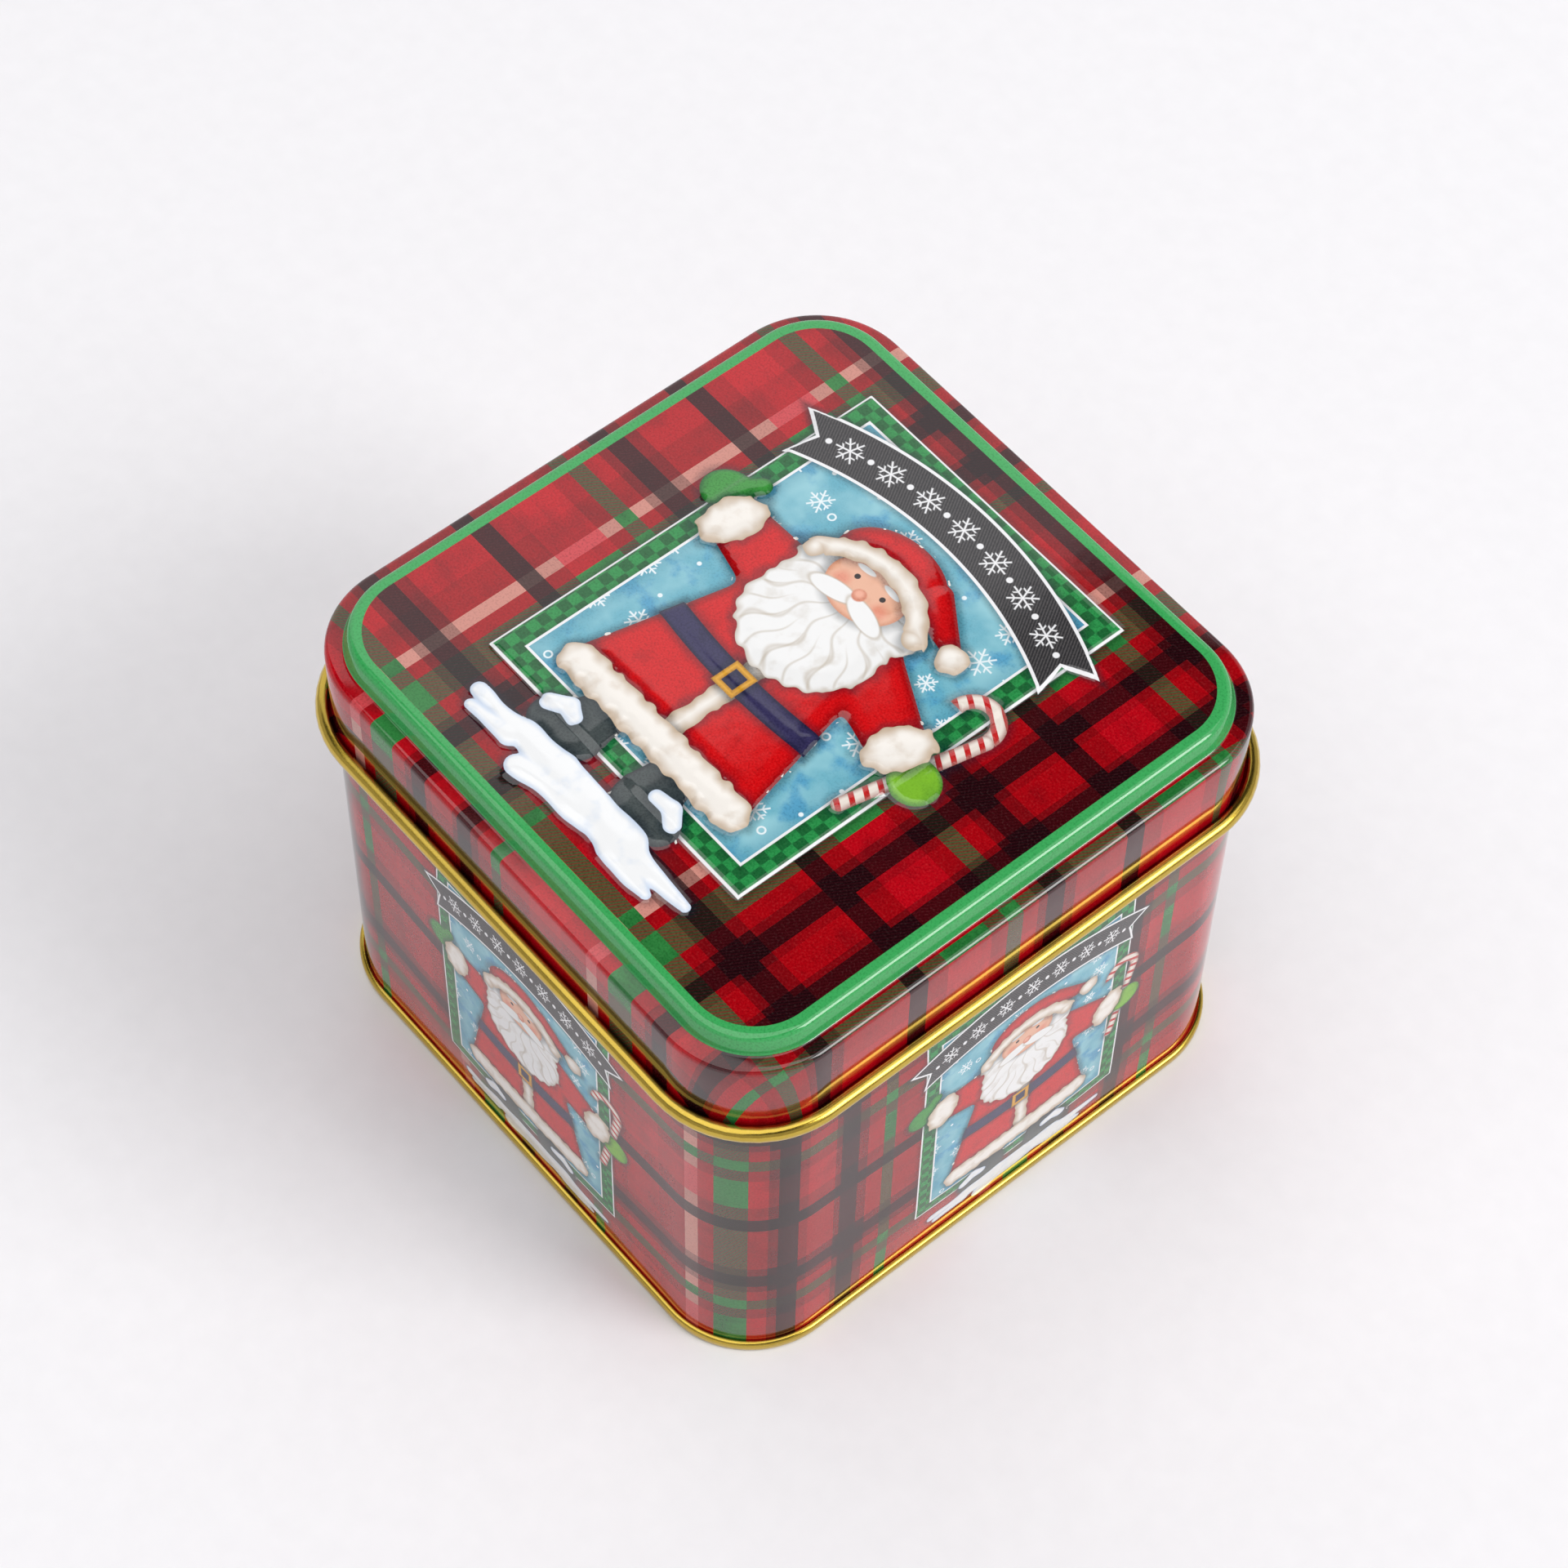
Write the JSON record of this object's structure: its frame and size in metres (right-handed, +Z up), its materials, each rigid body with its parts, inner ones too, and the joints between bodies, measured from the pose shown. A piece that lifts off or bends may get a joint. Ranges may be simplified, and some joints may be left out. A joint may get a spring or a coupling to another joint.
{
  "type": "square cookie tin",
  "caption": "Square tinplate container with rounded corners, a seamed base and a lift-off lid with a stepped rim, an embossed picture and an open rolled edge.",
  "frame": {"origin": "middle of the tin on the plane it stands on, which is the lower edge of the base rim", "axes": "+Z up through the lid, -Y out of the front wall, +X out of the right wall"},
  "size_m": [0.0946, 0.0946, 0.0758],
  "materials": {
    "printed_tinplate": "glossy lithographed tartan on tinplate, gold lacquer on the reverse",
    "gold_lacquered_tinplate": "glossy gold lacquer on tinplate"
  },
  "bodies": {
    "tin": {"body_wall": "printed_tinplate", "base_panel": "gold_lacquered_tinplate"},
    "lid": {"lid": "printed_tinplate"}
  },
  "joints": [
    {"name": "lid_lift", "type": "slide", "parent": "tin", "child": "lid", "axis": [0, 0, 1], "range_m": [0, 0.04]}
  ]
}
